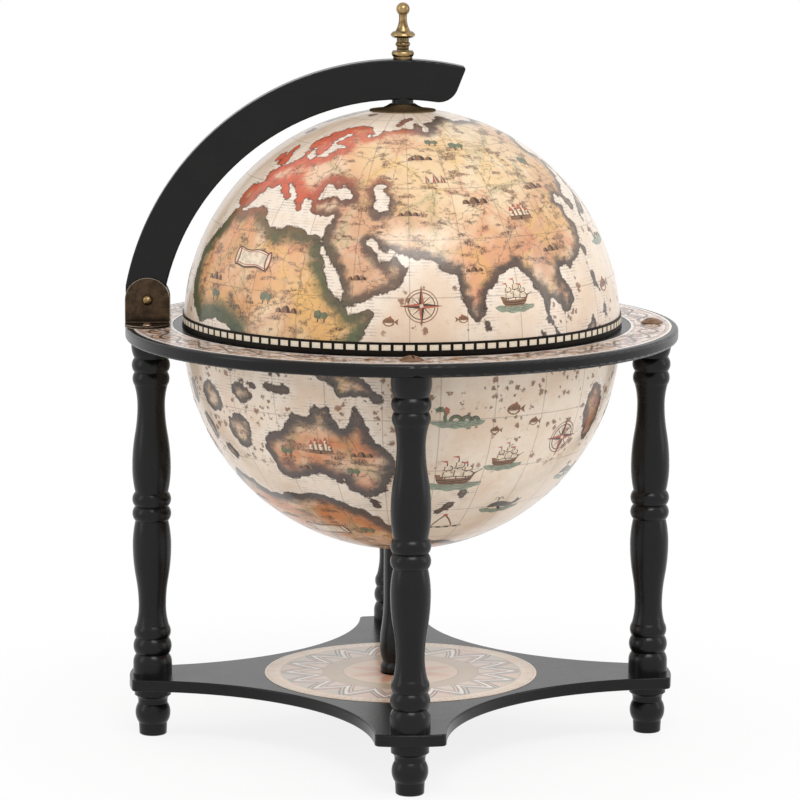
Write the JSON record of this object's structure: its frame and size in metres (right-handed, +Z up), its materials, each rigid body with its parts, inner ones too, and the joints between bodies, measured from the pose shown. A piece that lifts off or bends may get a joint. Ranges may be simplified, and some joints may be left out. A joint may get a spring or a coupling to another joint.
{
  "type": "floor globe bar",
  "caption": "Floor-standing globe bar on turned legs with a table ring and lower shelf; a curved arm hinged on the ring tips the globe's upper half back to open the bottle tray.",
  "frame": {"origin": "on the floor, on the globe's upright axis, at the bottom centre of the whole object's box", "axes": "+Z up; the arm lies in the XZ plane with its hinge at -X; -Y is the front, which the picture sees from about 2 degrees to the left"},
  "size_m": [0.42, 0.42, 0.5624],
  "materials": {
    "black_wood": "satin black lacquer on turned and sawn hardwood",
    "globe_print": "paper map print under clear gloss varnish on a moulded shell",
    "table_print": "printed paper under clear gloss varnish",
    "band": "black band with a row of cream blocks",
    "antique_bronze": "dark antique bronze, worn to a lighter line at the edges",
    "antique_brass": "antique brass, semi-gloss, darker in its grooves",
    "copper_bronze": "coppery bronze screw heads, semi-gloss",
    "steel": "zinc-plated steel",
    "inner_board": "stained and lacquered board"
  },
  "bodies": {
    "stand": {"leg_front": "black_wood", "leg_right": "black_wood", "leg_back": "black_wood", "leg_left": "black_wood", "foot_front": "black_wood", "foot_right": "black_wood", "foot_back": "black_wood", "foot_left": "black_wood", "foot_studs": "steel", "shelf": "black_wood", "shelf_print": "table_print", "centre_post": "black_wood", "post_screw": "steel", "bowl_washer": "steel", "bowl_screw": "steel", "ring": "black_wood", "ring_print": "table_print", "leg_screws": "copper_bronze", "sunk_leg_screw": "steel", "lower_bowl": "globe_print", "bowl_hoop": "black_wood", "rim_screws": "steel", "glass_tray": "inner_board", "bottle_floor": "inner_board", "hinge_plate_front": "antique_bronze", "hinge_plate_rear": "antique_bronze", "hinge_screws": "copper_bronze", "hinge_pin": "antique_brass", "hinge_pin_cap": "antique_brass"},
    "lid_arm": {"meridian_arm": "black_wood", "pole_spindle": "steel", "neck_spacer": "black_wood", "pole_washer": "steel", "pole_nut": "steel", "finial": "antique_brass"},
    "dome": {"upper_dome": "globe_print", "dome_hoop": "black_wood", "equator_band": "band", "pole_flange": "antique_bronze", "pole_block": "inner_board"}
  },
  "joints": [
    {"name": "lid_hinge", "type": "hinge", "parent": "stand", "child": "lid_arm", "pos_m": [-0.193, 0, 0.3381], "axis": [0, -1, 0], "range_deg": [0, 90]},
    {"name": "dome_spin", "type": "hinge", "parent": "lid_arm", "child": "dome", "pos_m": [0, 0, 0.4828], "axis": [0, 0, 1], "continuous": true}
  ]
}
